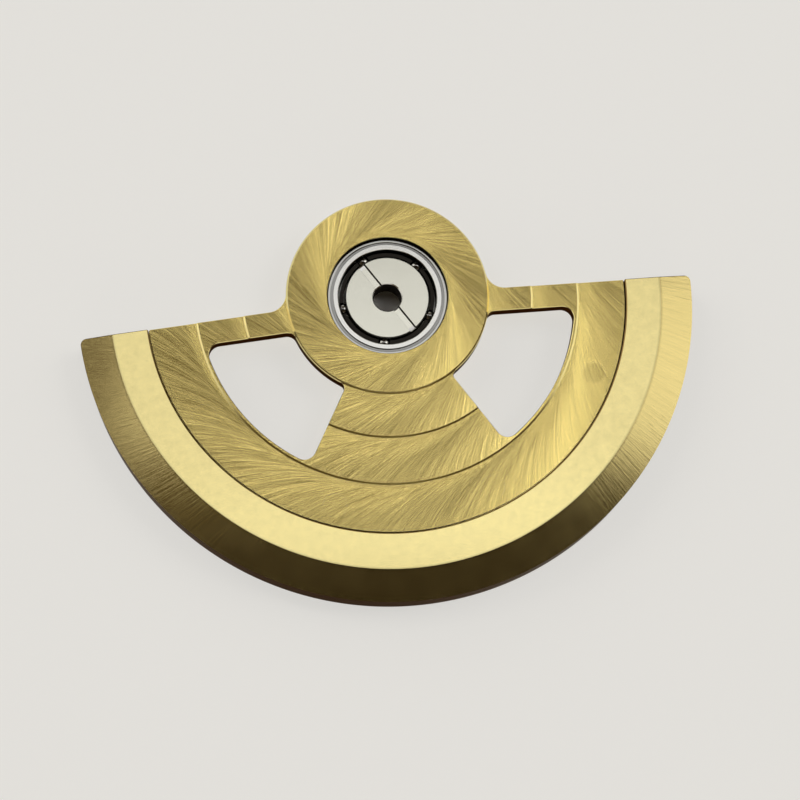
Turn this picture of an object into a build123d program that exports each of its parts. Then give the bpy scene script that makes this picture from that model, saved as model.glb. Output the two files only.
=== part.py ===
from build123d import *
from math import cos, radians, sin
import os

# Automatic winding rotor of a wrist watch, with its ball bearing. All lengths are in millimetres.
# Origin: on the turning axis, in the plane where the inner race sits on the movement.
# +Z points out of the movement, towards the side that is seen. -Y is the middle of the heavy side.

# Weight in plan
rotor_radius = 13.0
weight_half_angle = 87.9
end_corner_radius = 0.28

# Heavy rim: a flat ring, a wide shallow bevel outside it and a ledge inside that carries the plate
rim_height = 1.50
rim_drop = 0.10
rim_bevel_width = 1.35
rim_bevel_fall = 0.10
rim_flat_width = 1.50
rim_ledge_width = 1.75
rim_ledge_height = 0.85
rim_edge_chamfer = 0.04
rim_foot_chamfer = 0.08

# Carrier plate: three striped bands that step down outwards, around a raised hub
crescent_width = 2.05
middle_band_width = 1.98
crescent_thickness = 0.55
step_drop = 0.05
step_run = 0.06
seam_width = 0.08
seam_depth = 0.25
hub_ring_width = 1.75
hub_rise = 0.10
hub_bevel_width = 0.08
hub_bore_chamfer = 0.04
boss_wall = 0.35

# Windows, arms and spoke of the plate
arm_width = 1.00
arm_root_radius = 0.80
spoke_half_angle = 31.0
window_margin = 0.14
window_arm_radius = 0.42
window_rim_radius = 0.50
window_spoke_radius = 0.25

# Rivets that hold the plate on the rim, placed by their angle from the middle of the weight
rivet_shank_radius = 0.50
rivet_head_radius = 0.72
rivet_head_height = 0.22
rivet_angles = (-62.3, -20.8, 20.8, 62.3)

# Ball bearing, from its bore outwards
inner_bore_radius = 0.60
inner_spigot_wall = 0.55
inner_ring_wall = 0.445
inner_land_height = 0.107
inner_edge_chamfer = 0.04
slot_width = 0.32
slot_depth = 0.15
slot_angle = -58.7
ball_count = 5
ball_radius = 0.28
ball_height = 0.74
ball_start_angle = 43.0
contact_angle = 45.0
track_relief = 0.05
land_gap = 0.31
outer_race_wall = 0.45
outer_race_top_recess = 0.25
outer_race_lift = 0.03
outer_race_flange_width = 0.21
outer_race_flange_thickness = 0.08
outer_race_land_width = 0.21
outer_race_lip_width = 0.12
outer_race_step_depth = 0.08
outer_race_chamfer = 0.03
cage_wall = 0.15
cage_base_thickness = 0.12
cage_finger_rise = 0.25
cage_mouth_width = 0.48

# Gear on the bearing, which drives the winding train
gear_module = 0.12
gear_ring_width = 0.30
gear_thickness = 0.22
gear_root_share = 0.62
gear_tip_share = 0.28
gear_dedendum_share = 1.25

# Fits and cuts
seat_clearance = 0.01
ball_clearance = 0.03
pocket_clearance = 0.04
overrun = 0.50

# Radii worked out from the driving sizes
flat_outer_radius = rotor_radius - rim_bevel_width
plate_radius = flat_outer_radius - rim_flat_width
outer_step_radius = plate_radius - crescent_width
inner_step_radius = outer_step_radius - middle_band_width
window_outer_radius = outer_step_radius - window_margin
ledge_inner_radius = plate_radius - rim_ledge_width
rivet_circle_radius = (ledge_inner_radius + plate_radius) / 2
inner_spigot_radius = inner_bore_radius + inner_spigot_wall
inner_ring_bore_radius = inner_spigot_radius + seat_clearance
ball_circle_radius = inner_ring_bore_radius + inner_ring_wall + track_relief + ball_radius
inner_land_radius = ball_circle_radius - land_gap / 2
outer_land_radius = ball_circle_radius + land_gap / 2
outer_race_radius = outer_land_radius + outer_race_wall
outer_race_flange_radius = outer_race_radius + outer_race_flange_width
hub_bore_radius = outer_race_radius + seat_clearance
hub_radius = hub_bore_radius + hub_ring_width
boss_radius = hub_bore_radius + boss_wall
gear_pitch_target = hub_bore_radius + gear_ring_width + gear_dedendum_share * gear_module
gear_teeth = round(2 * gear_pitch_target / gear_module)
gear_pitch_radius = gear_module * gear_teeth / 2

# Heights worked out from the driving sizes
rim_bottom = -rim_drop
rim_top = rim_bottom + rim_height
plate_bottom = rim_bottom + rim_ledge_height
crescent_top = plate_bottom + crescent_thickness
middle_band_top = crescent_top + step_drop
inner_band_top = middle_band_top + step_drop
hub_top = inner_band_top + hub_rise
outer_race_bottom = outer_race_lift
flange_top = outer_race_bottom + outer_race_flange_thickness
boss_bottom = flange_top + gear_thickness
outer_race_top = hub_top - outer_race_top_recess
cage_bottom = ball_height - ball_radius - pocket_clearance - cage_base_thickness
cage_top = ball_height + cage_finger_rise

weight_middle_angle = -90.0
right_end_angle = weight_middle_angle + weight_half_angle
left_end_angle = weight_middle_angle - weight_half_angle


def at_polar(radius, angle):
    """The point at a radius and an angle in degrees, in plan."""
    return Vector(radius * cos(radians(angle)), radius * sin(radians(angle)), 0)


def cone_rise(depth):
    """Rise of a track's cone above the middle of the balls, at a radial distance from their centres."""
    slope = radians(contact_angle)
    return (ball_radius + ball_clearance - depth * cos(slope)) / sin(slope)


def turned(section):
    """A solid of revolution about Z from a closed section of (radius, height) points."""
    outline = Polyline(*[(radius, 0, height) for radius, height in section], close=True)
    return revolve(make_face(outline), axis=Axis.Z)


def standing(face, bottom, top):
    """A prism between two heights from a face in plan."""
    return Pos(0, 0, bottom) * extrude(face, amount=top - bottom)


def rod(radius, bottom, top):
    """A cylinder on Z between two heights."""
    return Pos(0, 0, bottom) * Cylinder(radius, top - bottom, align=(Align.CENTER, Align.CENTER, Align.MIN))


def corners_near(face, points):
    """The corner of a face that lies nearest to each point."""
    return [face.vertices().sort_by_distance(point)[0] for point in points]


def weight_sector(radius):
    """The half disc of the weight in plan, between its two radial ends."""
    left = at_polar(radius, left_end_angle)
    right = at_polar(radius, right_end_angle)
    rim = ThreePointArc(left, at_polar(radius, weight_middle_angle), right)
    return make_face([rim, Line(right, (0, 0)), Line((0, 0), left)])


def window_plan():
    """The right-hand window in plan: a ring sector between the arm and the spoke, with rounded corners."""
    spoke_angle = weight_middle_angle + spoke_half_angle
    along_arm = at_polar(rotor_radius, right_end_angle)
    along_spoke = at_polar(rotor_radius, spoke_angle)
    arm_offset = at_polar(arm_width, right_end_angle - 90)
    apex = at_polar(arm_width / sin(radians(right_end_angle - spoke_angle)), spoke_angle)
    corners = (apex, arm_offset + along_arm, along_arm + along_spoke, along_spoke)
    wedge = make_face(Polyline(*corners, close=True))
    window = (Circle(window_outer_radius) - Circle(hub_radius)) & wedge

    def on_arm(radius):
        reach = (radius**2 - arm_width**2) ** 0.5
        return arm_offset + at_polar(reach, right_end_angle)

    for radius, corner in (
        (window_arm_radius, on_arm(hub_radius)),
        (window_rim_radius, on_arm(window_outer_radius)),
        (window_rim_radius, at_polar(window_outer_radius, spoke_angle)),
        (window_spoke_radius, at_polar(hub_radius, spoke_angle)),
    ):
        window = fillet(corners_near(window, [corner]), radius)
    return window


def carrier_plate():
    """Hub, arms, spoke and crescent in one turned plate, stepped on top and pierced by two windows."""
    turned_blank = turned(
        [
            (hub_bore_radius, boss_bottom),
            (boss_radius, boss_bottom),
            (boss_radius, plate_bottom),
            (plate_radius, plate_bottom),
            (plate_radius, crescent_top - seam_depth),
            (plate_radius - seam_width, crescent_top - seam_depth),
            (plate_radius - seam_width, crescent_top),
            (outer_step_radius + step_run / 2, crescent_top),
            (outer_step_radius - step_run / 2, middle_band_top),
            (inner_step_radius + step_run / 2, middle_band_top),
            (inner_step_radius - step_run / 2, inner_band_top),
            (hub_radius, inner_band_top),
            (hub_radius - hub_bevel_width, hub_top),
            (hub_bore_radius + hub_bore_chamfer, hub_top),
            (hub_bore_radius, hub_top - hub_bore_chamfer),
        ]
    )
    outline = weight_sector(rotor_radius) + Circle(hub_radius)
    roots = [at_polar(hub_radius, right_end_angle), at_polar(hub_radius, left_end_angle)]
    outline = fillet(corners_near(outline, roots), arm_root_radius)
    window = window_plan()
    outline = outline - window - mirror(window, about=Plane.YZ)
    plate = turned_blank & standing(outline, boss_bottom - overrun, hub_top + overrun)
    for angle in rivet_angles:
        plate -= rivet_place(angle) * rod(rivet_shank_radius + seat_clearance, rim_bottom, hub_top)
    return plate


def heavy_rim():
    """The heavy segment: flat top, wide shallow bevel, outer wall and the ledge under the plate."""
    bore = plate_radius + seat_clearance
    ring = turned(
        [
            (ledge_inner_radius, rim_bottom),
            (rotor_radius - rim_foot_chamfer, rim_bottom),
            (rotor_radius, rim_bottom + rim_foot_chamfer),
            (rotor_radius, rim_top - rim_bevel_fall),
            (flat_outer_radius, rim_top),
            (bore + rim_edge_chamfer, rim_top),
            (bore, rim_top - rim_edge_chamfer),
            (bore, plate_bottom),
            (ledge_inner_radius, plate_bottom),
        ]
    )
    plan = weight_sector(rotor_radius)
    ends = [at_polar(rotor_radius, right_end_angle), at_polar(rotor_radius, left_end_angle)]
    plan = fillet(corners_near(plan, ends), end_corner_radius)
    rim = ring & standing(plan, rim_bottom - overrun, rim_top + overrun)
    for angle in rivet_angles:
        rim -= rivet_place(angle) * rivet_form(seat_clearance)
    return rim


def rivet_place(angle):
    """Where a rivet stands, by its angle from the middle of the weight."""
    return Pos(at_polar(rivet_circle_radius, weight_middle_angle + angle))


def rivet_form(growth):
    """A countersunk rivet on Z, with its radii grown by a clearance."""
    shank = rivet_shank_radius + growth
    head = rivet_head_radius + growth
    return turned(
        [
            (0, rim_bottom),
            (head, rim_bottom),
            (shank, rim_bottom + rivet_head_height),
            (shank, crescent_top),
            (0, crescent_top),
        ]
    )


def track(side):
    """Half a ball track, from its middle up, as (radius, rise) points.

    Side 1 is the outer race's, -1 the inner race's. The cone touches the balls at the contact angle,
    and a relief lies at its bottom.
    """
    relief_depth = ball_radius + track_relief
    relief_rise = cone_rise(relief_depth)
    relief_radius = ball_circle_radius + side * relief_depth
    land_rise = cone_rise(land_gap / 2)
    land_radius = ball_circle_radius + side * land_gap / 2
    return [(relief_radius, 0), (relief_radius, relief_rise), (land_radius, land_rise)]


def bearing_outer_race():
    """Outer race: a grooved ring with a lip on top and a flange under the gear."""
    rising = [(radius, ball_height + rise) for radius, rise in track(1)[1:]]
    falling = [(radius, ball_height - rise) for radius, rise in track(1)[1:]]
    step_start = outer_land_radius + outer_race_land_width
    step_end = outer_race_radius - outer_race_lip_width
    return turned(
        [
            *falling[::-1],
            *rising,
            (outer_land_radius, outer_race_top - outer_race_chamfer),
            (outer_land_radius + outer_race_chamfer, outer_race_top),
            (step_start, outer_race_top),
            (step_start, outer_race_top - outer_race_step_depth),
            (step_end, outer_race_top - outer_race_step_depth),
            (step_end, outer_race_top),
            (outer_race_radius - outer_race_chamfer, outer_race_top),
            (outer_race_radius, outer_race_top - outer_race_chamfer),
            (outer_race_radius, flange_top),
            (outer_race_flange_radius, flange_top),
            (outer_race_flange_radius, outer_race_bottom),
            (outer_land_radius, outer_race_bottom),
        ]
    )


def inner_race_upper():
    """Upper half of the inner race: a slotted disc on a bored spigot that carries the lower half."""
    inner_race_height = ball_height + cone_rise(land_gap / 2) + inner_land_height
    cap = turned(
        [
            (inner_bore_radius, 0),
            (inner_spigot_radius, 0),
            (inner_spigot_radius, ball_height),
            *[(radius, ball_height + rise) for radius, rise in track(-1)],
            (inner_land_radius, inner_race_height - inner_edge_chamfer),
            (inner_land_radius - inner_edge_chamfer, inner_race_height),
            (inner_bore_radius + inner_edge_chamfer, inner_race_height),
            (inner_bore_radius, inner_race_height - inner_edge_chamfer),
        ]
    )
    slot_length = 2 * (inner_land_radius + overrun)
    slot = Rot(0, 0, slot_angle) * Box(slot_length, slot_width, 2 * slot_depth)
    return cap - Pos(0, 0, inner_race_height) * slot


def inner_race_lower():
    """Lower half of the inner race: a ring around the spigot, clamped under the disc."""
    return turned(
        [
            (inner_ring_bore_radius, ball_height),
            *[(radius, ball_height - rise) for radius, rise in track(-1)],
            (inner_land_radius, inner_edge_chamfer),
            (inner_land_radius - inner_edge_chamfer, 0),
            (inner_ring_bore_radius, 0),
        ]
    )


def ball_cage():
    """Crown cage: a ring between the races whose pockets are open on top, so that the balls snap in."""
    mean_radius = ball_circle_radius
    cage = rod(mean_radius + cage_wall / 2, cage_bottom, cage_top)
    cage -= rod(mean_radius - cage_wall / 2, cage_bottom - overrun, cage_top + overrun)
    pocket = Rot(0, 90, 0) * Cylinder(ball_radius + pocket_clearance, 2 * cage_wall)
    mouth_height = cage_top - ball_height + overrun
    mouth = Pos(0, 0, mouth_height / 2) * Box(2 * cage_wall, cage_mouth_width, mouth_height)
    for angle in ball_angles():
        cage -= Rot(0, 0, angle) * Pos(mean_radius, 0, ball_height) * (pocket + mouth)
    return cage


def ball_angles():
    """The angles of the balls around the axis."""
    return [ball_start_angle + index * 360 / ball_count for index in range(ball_count)]


def ball(angle):
    """One ball in its place between the races."""
    return Pos(at_polar(ball_circle_radius, angle)) * Pos(0, 0, ball_height) * Sphere(ball_radius)


def drive_gear():
    """Toothed ring under the hub, held between the boss of the plate and the flange of the race."""
    pitch = 360 / gear_teeth
    half_root = pitch * gear_root_share / 2
    half_tip = pitch * gear_tip_share / 2
    root_radius = gear_pitch_radius - gear_dedendum_share * gear_module
    tip_radius = gear_pitch_radius + gear_module
    corners = []
    for index in range(gear_teeth):
        middle = index * pitch
        corners += [
            at_polar(root_radius, middle - half_root),
            at_polar(tip_radius, middle - half_tip),
            at_polar(tip_radius, middle + half_tip),
            at_polar(root_radius, middle + half_root),
        ]
    toothed = make_face(Polyline(*corners, close=True)) - Circle(hub_bore_radius)
    return standing(toothed, flange_top, boss_bottom)


def make_parts():
    """Every piece by its name, each in its place in the assembly."""
    pieces = {
        "carrier_plate": carrier_plate(),
        "heavy_rim": heavy_rim(),
        "drive_gear": drive_gear(),
        "bearing_outer_race": bearing_outer_race(),
        "inner_race_upper": inner_race_upper(),
        "inner_race_lower": inner_race_lower(),
        "ball_cage": ball_cage(),
    }
    for number, angle in enumerate(rivet_angles, start=1):
        pieces[f"rim_rivet_{number}"] = rivet_place(angle) * rivet_form(0)
    for number, angle in enumerate(ball_angles(), start=1):
        pieces[f"bearing_ball_{number}"] = ball(angle)
    return pieces


os.makedirs("parts", exist_ok=True)
for name, piece in make_parts().items():
    export_step(piece, f"parts/{name}.step")
    print(f"{name}: {piece.volume:.4f} mm3")
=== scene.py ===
"""Looks of an automatic watch rotor: a half-disc weight that turns on a small ball bearing.

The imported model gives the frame, the heights and the bodies. Each class of pieces below is one sub-assembly
of the rotor: it holds its sizes in millimetres, builds its meshes finely and gives them their finish.
"""

import logging
import math
from collections.abc import Callable, Sequence
from dataclasses import KW_ONLY, dataclass, field
from enum import Enum

import bpy
import numpy as np
from mathutils import Matrix, Vector
from mathutils.geometry import delaunay_2d_cdt


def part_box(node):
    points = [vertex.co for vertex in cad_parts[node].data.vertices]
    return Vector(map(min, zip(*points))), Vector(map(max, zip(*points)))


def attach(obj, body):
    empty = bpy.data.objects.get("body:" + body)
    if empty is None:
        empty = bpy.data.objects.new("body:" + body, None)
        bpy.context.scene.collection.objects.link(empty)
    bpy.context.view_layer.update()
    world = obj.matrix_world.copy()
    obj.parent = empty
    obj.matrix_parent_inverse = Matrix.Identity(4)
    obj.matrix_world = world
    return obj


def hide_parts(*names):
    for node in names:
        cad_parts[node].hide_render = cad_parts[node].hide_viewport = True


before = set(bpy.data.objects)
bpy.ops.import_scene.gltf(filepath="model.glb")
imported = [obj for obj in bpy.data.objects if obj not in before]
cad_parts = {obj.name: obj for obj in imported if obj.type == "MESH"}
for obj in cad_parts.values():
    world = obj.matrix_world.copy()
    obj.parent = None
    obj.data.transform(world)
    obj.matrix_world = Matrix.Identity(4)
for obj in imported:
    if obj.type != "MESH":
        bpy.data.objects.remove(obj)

# Lengths are in millimetres and angles in degrees. A lean is the upward part of a face's normal.
MM = 0.001
MERGE_DISTANCE = 0.0002
SHARP_ANGLE = 12.0
WALL_LEAN = 0.4
FLAT_LEAN = 0.9995
LOG = logging.getLogger("rotor")

Point = tuple[float, float]
Colour = tuple[float, float, float]
Edge = tuple[float, float]
Layers = tuple[float, float]


class Body(Enum):
    """The bodies of the frame that pieces ride on."""

    INNER_RACE = "inner_race"
    WEIGHT = "weight"


def level(node: str, corner: int) -> float:
    """Height of a CAD node in millimetres: its lowest for corner 0, its highest for corner 1."""
    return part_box(node)[corner].z / MM


# Node trees


class Wire:
    """A socket's value in a node tree. Python operators on it add the Math nodes they stand for."""

    def __init__(self, maker: "NodeMaker", socket: bpy.types.NodeSocket) -> None:
        """Wraps an output socket of a node in the maker's tree."""
        self.maker = maker
        self.socket = socket

    def math(self, operation: str, *others: "Wire | float") -> "Wire":
        """The result of a Math node that takes this value first."""
        return self.maker.maths(operation, self, *others)

    def __add__(self, other: "Wire | float") -> "Wire":
        """This value plus another."""
        return self.math("ADD", other)

    __radd__ = __add__

    def __sub__(self, other: "Wire | float") -> "Wire":
        """This value less another."""
        return self.math("SUBTRACT", other)

    def __rsub__(self, other: float) -> "Wire":
        """Another value less this one."""
        return self.maker.maths("SUBTRACT", other, self)

    def __mul__(self, other: "Wire | float") -> "Wire":
        """This value times another."""
        return self.math("MULTIPLY", other)

    __rmul__ = __mul__

    def __truediv__(self, other: "Wire | float") -> "Wire":
        """This value divided by another."""
        return self.math("DIVIDE", other)

    def __rtruediv__(self, other: float) -> "Wire":
        """Another value divided by this one."""
        return self.maker.maths("DIVIDE", other, self)

    def __gt__(self, other: "Wire | float") -> "Wire":
        """1 where this value is the greater, else 0."""
        return self.math("GREATER_THAN", other)

    def __lt__(self, other: "Wire | float") -> "Wire":
        """1 where this value is the smaller, else 0."""
        return self.math("LESS_THAN", other)

    def clamped(self) -> "Wire":
        """This value kept between 0 and 1."""
        return self.math("MAXIMUM", 0.0).math("MINIMUM", 1.0)

    def rising(self, start: float, width: float) -> "Wire":
        """0 up to a start, 1 from a width beyond it on, and even between."""
        return ((self - start) / width).clamped()

    def falling(self, end: float, width: float) -> "Wire":
        """1 up to a width before an end, 0 from the end on, and even between."""
        return ((end - self) / width).clamped()


class NodeMaker:
    """Adds nodes to a tree."""

    MIX_FACTOR, MIX_FIRST, MIX_SECOND, MIX_RESULT = 0, 6, 7, 2

    def __init__(self, tree: bpy.types.NodeTree) -> None:
        """Starts on a shader or geometry tree."""
        self.tree = tree

    def add(self, kind: str, settings: dict | None = None, values: dict | None = None) -> bpy.types.Node:
        """Adds a node, sets its settings and then its sockets.

        Args:
            kind: The node's type.
            settings: Attributes of the node, such as a Math node's operation.
            values: A number, a vector, a data block or a Wire for each socket, by name or index.

        Returns:
            The node.
        """
        node = self.tree.nodes.new(kind)
        for name, value in (settings or {}).items():
            setattr(node, name, value)
        for key, value in (values or {}).items():
            if isinstance(value, Wire):
                self.tree.links.new(value.socket, node.inputs[key])
            else:
                node.inputs[key].default_value = value
        return node

    def wire(self, node: bpy.types.Node, output: str | int = 0) -> Wire:
        """An output of a node, by name or index."""
        return Wire(self, node.outputs[output])

    def result(self, kind: str, settings: dict | None = None, values: dict | None = None,
               output: str | int = 0) -> Wire:
        """Adds a node, as add does, and gives one of its outputs."""
        return self.wire(self.add(kind, settings, values), output)

    def maths(self, operation: str, *values: Wire | float) -> Wire:
        """The result of a Math node on values, in their order."""
        return self.result("ShaderNodeMath", {"operation": operation}, dict(enumerate(values)))

    def vector(self, x: Wire | float, y: Wire | float, z: Wire | float) -> Wire:
        """A vector from three values."""
        return self.result("ShaderNodeCombineXYZ", None, {0: x, 1: y, 2: z})

    def around(self, radius: Wire | float, angle: Wire | float, height: Wire | float) -> Wire:
        """A vector at a radius and an angle in radians about Z, at a height."""
        cosine = self.maths("COSINE", angle)
        sine = self.maths("SINE", angle)
        return self.vector(cosine * radius, sine * radius, height)

    def mixed(self, factor: Wire, first: Colour, second: Colour) -> Wire:
        """The first colour where a factor is 0, the second where it is 1, and their mix between."""
        values = {self.MIX_FACTOR: factor, self.MIX_FIRST: (*first, 1.0), self.MIX_SECOND: (*second, 1.0)}
        return self.result("ShaderNodeMix", {"data_type": "RGBA"}, values, self.MIX_RESULT)


# Finishes


class Shader(NodeMaker):
    """The node tree of one material, with the patterns that the materials share."""

    BUMP_FILTER = 0.1

    def __init__(self, name: str) -> None:
        """Starts a material of this name."""
        self.material = bpy.data.materials.new(name)
        self.material.use_nodes = True
        super().__init__(self.material.node_tree)
        self.tree.nodes.clear()
        self.place = self.result("ShaderNodeTexCoord", output="Object")
        split = self.add("ShaderNodeSeparateXYZ", None, {0: self.place})
        self.x, self.y, self.z = (self.wire(split, axis) / MM for axis in "XYZ")
        self.radius = (self.x * self.x + self.y * self.y).math("SQRT")
        self.angle = self.y.math("ARCTAN2", self.x)

    def noise(self, where: Wire, scale: float, layers: Layers) -> Wire:
        """Noise around 0.5 in space.

        Args:
            where: The place as a vector.
            scale: Cells in a unit of that place.
            layers: How many finer layers are added, and how strong they are.

        Returns:
            The noise, from 0 to 1.
        """
        detail, roughness = layers
        values = {"Vector": where, "Scale": scale, "Detail": detail, "Roughness": roughness}
        return self.result("ShaderNodeTexNoise", {"noise_dimensions": "3D"}, values)

    def cells(self, pitch: float, layers: Layers) -> Wire:
        """Noise whose cells are a pitch apart, in millimetres on the piece."""
        return self.noise(self.place, 1.0 / (pitch * MM), layers)

    def ring_painted_light_shade(self, shade: Wire, rings: Sequence["DarkRing"]) -> Wire:
        """A shade with painted shade in rings about the axis, and painted light where a ring's darkness is
        below 0.

        Args:
            shade: The shade.
            rings: The rings.

        Returns:
            The shade.
        """
        for ring in rings:
            inside = ((self.radius - ring.inner) / ring.blur + 0.5).clamped()
            inside = inside * ((ring.outer - self.radius) / ring.blur + 0.5).clamped()
            shade = shade * (1.0 - inside * ring.darkness)
        return shade

    def tinted(self, colour: Colour, shade: Wire) -> Wire:
        """A plain colour times a shade, which makes it darker or lighter."""
        return self.result("ShaderNodeVectorMath", {"operation": "SCALE"}, {0: colour, "Scale": shade})

    def metal(self, colour: Wire, roughness: Wire, height: Wire, depth: float,
              edge_tint: Colour) -> bpy.types.Material:
        """Ends the tree in a bare metal.

        Args:
            colour: The metal's colour.
            roughness: Its roughness.
            height: The relief, in units of the depth.
            depth: The relief's depth, in millimetres.
            edge_tint: Tint of what it mirrors at a low angle.

        Returns:
            The material.
        """
        relief = {"Strength": 1.0, "Distance": depth * MM, "Filter Width": self.BUMP_FILTER, "Height": height}
        bump = self.result("ShaderNodeBump", None, relief)
        values = {"Base Color": colour, "Metallic": 1.0, "Roughness": roughness, "Normal": bump,
                  "Specular Tint": (*edge_tint, 1.0)}
        surface = self.result("ShaderNodeBsdfPrincipled", None, values)
        self.add("ShaderNodeOutputMaterial", None, {"Surface": surface})
        return self.material


@dataclass(frozen=True)
class DarkRing:
    """A ring about the axis with painted shade: darker where a tight corner or gap falls in shade. A darkness
    below 0 paints it lighter instead: painted light.
    """

    inner: float
    outer: float
    darkness: float
    blur: float = 0.02


@dataclass(frozen=True)
class Finish:
    """A bare metal with a fine pattern, which shades it and gives it relief, and with soft patches."""

    name: str
    colour: Colour
    _: KW_ONLY
    base_shade: float = 0.97
    pattern_shade: float = 0.14
    relief_depth: float = 0.001
    patch_pitch: float = 0.5
    patch_layers: Layers = (3.0, 0.6)
    patch_shade: float = 0.08
    roughness: float = 0.2
    roughness_range: float = 0.08
    edge_tint: Colour = (1.0, 1.0, 1.0)
    painted_light_shade_rings: tuple[DarkRing, ...] = ()

    def make(self) -> bpy.types.Material:
        """The material."""
        shader = Shader(self.name)
        pattern, relief = self._pattern(shader)
        patches = shader.cells(self.patch_pitch, self.patch_layers)
        shade = self.base_shade + (pattern - 0.5) * self.pattern_shade + (patches - 0.5) * self.patch_shade
        # The rings paint shade into the colour, and paint light where a ring's darkness is below 0.
        colour = shader.tinted(self.colour, shader.ring_painted_light_shade(self._marked(shader, shade), self.painted_light_shade_rings))
        roughness = self.roughness + (patches - 0.5) * self.roughness_range
        return shader.metal(colour, roughness, relief, self.relief_depth, self.edge_tint)

    def _pattern(self, shader: Shader) -> tuple[Wire, Wire]:
        """The pattern that shades the metal, and the relief."""
        raise NotImplementedError

    def _marked(self, shader: Shader, shade: Wire) -> Wire:
        """The shade with the finish's own marks: here none."""
        return shade


@dataclass(frozen=True, kw_only=True)
class BandBrushing(Finish):
    """Turned metal with curved brush lines that start along each band's inner edge and lean outwards."""

    band_edges: tuple[float, ...]
    lean: float = 37.0
    line_pitch: float = 0.006
    line_layers: Layers = (1.0, 0.65)
    line_stretch: float = 0.2
    score_pitch: float = 0.11
    score_layers: Layers = (2.0, 0.65)
    score_share: float = 0.20
    # The mark is painted shade over the shallow dish of a rivet end.
    mark_place: Point | None = None
    mark_radius: float = 0.5
    mark_blur: float = 0.125
    mark_painted_shade: float = 0.15
    pattern_shade: float = 0.30
    relief_depth: float = 0.0046
    patch_pitch: float = 1.6
    patch_shade: float = 0.12
    roughness: float = 0.14
    roughness_range: float = 0.10

    def _pattern(self, shader: Shader) -> tuple[Wire, Wire]:
        """Broad scores, and the relief of the fine lines, which is a little stronger along the scores."""
        inner, outer = self._band(shader)
        phase = self._phase(shader, inner, outer)
        middle = (inner + outer) / 2.0
        stretched = shader.radius * self.line_stretch
        fine, scores = (
            shader.noise(shader.around(middle / pitch, phase, stretched), 1.0, layers)
            for pitch, layers in ((self.line_pitch, self.line_layers), (self.score_pitch, self.score_layers))
        )
        return scores, (fine - 0.5) * (1.0 + (scores - 0.5) * self.score_share)

    def _marked(self, shader: Shader, shade: Wire) -> Wire:
        """The shade with painted shade in a faint round patch over a rivet, with a soft edge, where the rivet
        end's shallow dish looks darker.
        """
        if self.mark_place is None:
            return shade
        across = shader.x - self.mark_place[0]
        along = shader.y - self.mark_place[1]
        distance = (across * across + along * along).math("SQRT")
        return shade - distance.falling(self.mark_radius, self.mark_blur) * self.mark_painted_shade

    def _band(self, shader: Shader) -> tuple[Wire | float, Wire | float]:
        """The inner and outer radius of the band that a place lies in.

        Args:
            shader: The shader.

        Returns:
            The two radii.
        """
        inner: Wire | float = self.band_edges[0]
        outer: Wire | float = self.band_edges[1]
        for low, edge, high in zip(self.band_edges, self.band_edges[1:], self.band_edges[2:]):
            beyond = shader.radius > edge
            inner = beyond * (edge - low) + inner
            outer = beyond * (high - edge) + outer
        return inner, outer

    def _phase(self, shader: Shader, inner: Wire | float, outer: Wire | float) -> Wire:
        """An angle that stays the same along each brush line.

        Args:
            shader: The shader.
            inner: The band's inner radius.
            outer: The band's outer radius.

        Returns:
            The angle in radians.
        """
        spread = (inner - outer * math.sin(math.radians(self.lean))) * 2.0
        bend = (outer * outer - inner * inner) / spread
        reach = inner + bend
        cosine = (shader.radius * shader.radius + reach * reach - bend * bend) / (shader.radius * reach * 2.0)
        return shader.angle + cosine.math("MINIMUM", 1.0).math("ARCCOSINE")


@dataclass(frozen=True, kw_only=True)
class CrossBrushing(Finish):
    """Turned metal with fine straight lines that cross a ring from its inner to its outer edge."""

    ring_radius: float = 12.3
    lean: float = 12.0
    line_pitch: float = 0.09
    line_layers: Layers = (3.0, 0.7)
    line_stretch: float = 0.6
    pattern_shade: float = 0.28
    relief_depth: float = 0.0022
    patch_pitch: float = 1.1
    roughness: float = 0.12
    roughness_range: float = 0.06

    def _pattern(self, shader: Shader) -> tuple[Wire, Wire]:
        """The lines, which shade the metal and are its relief."""
        outwards = (shader.radius / self.ring_radius).math("LOGARITHM", math.e)
        phase = shader.angle + outwards * math.tan(math.radians(self.lean))
        where = shader.around(self.ring_radius / self.line_pitch, phase, shader.radius * self.line_stretch)
        lines = shader.noise(where, 1.0, self.line_layers)
        return lines, lines


@dataclass(frozen=True, kw_only=True)
class FineGrain(Finish):
    """Frosted metal: a very fine grain with soft cloudy patches, and painted light that makes it a little
    paler below a height.
    """

    grain_pitch: float = 0.07
    grain_layers: Layers = (2.0, 0.6)
    painted_light_below: float = -1.0
    painted_light_share: float = 0.08
    pattern_shade: float = 0.06
    relief_depth: float = 0.0008
    patch_pitch: float = 0.9
    patch_layers: Layers = (4.0, 0.62)
    patch_shade: float = 0.10
    roughness: float = 0.18
    roughness_range: float = 0.06

    def _pattern(self, shader: Shader) -> tuple[Wire, Wire]:
        """The grain, which shades the metal and is its relief."""
        grain = shader.cells(self.grain_pitch, self.grain_layers)
        return grain, grain

    def _marked(self, shader: Shader, shade: Wire) -> Wire:
        """The shade with painted light: paler below the height."""
        return shade * (1.0 + (shader.z < self.painted_light_below) * self.painted_light_share)


@dataclass(frozen=True, kw_only=True)
class TurnedMetal(Finish):
    """Metal with fine rings left by the lathe."""

    ring_pitch: float = 0.035
    ring_layers: Layers = (2.0, 0.6)

    def _pattern(self, shader: Shader) -> tuple[Wire, Wire]:
        """The rings, which shade the metal and are its relief."""
        where = shader.vector(shader.radius, shader.z, 0.0)
        rings = shader.noise(where, 1.0 / self.ring_pitch, self.ring_layers)
        return rings, rings


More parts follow.
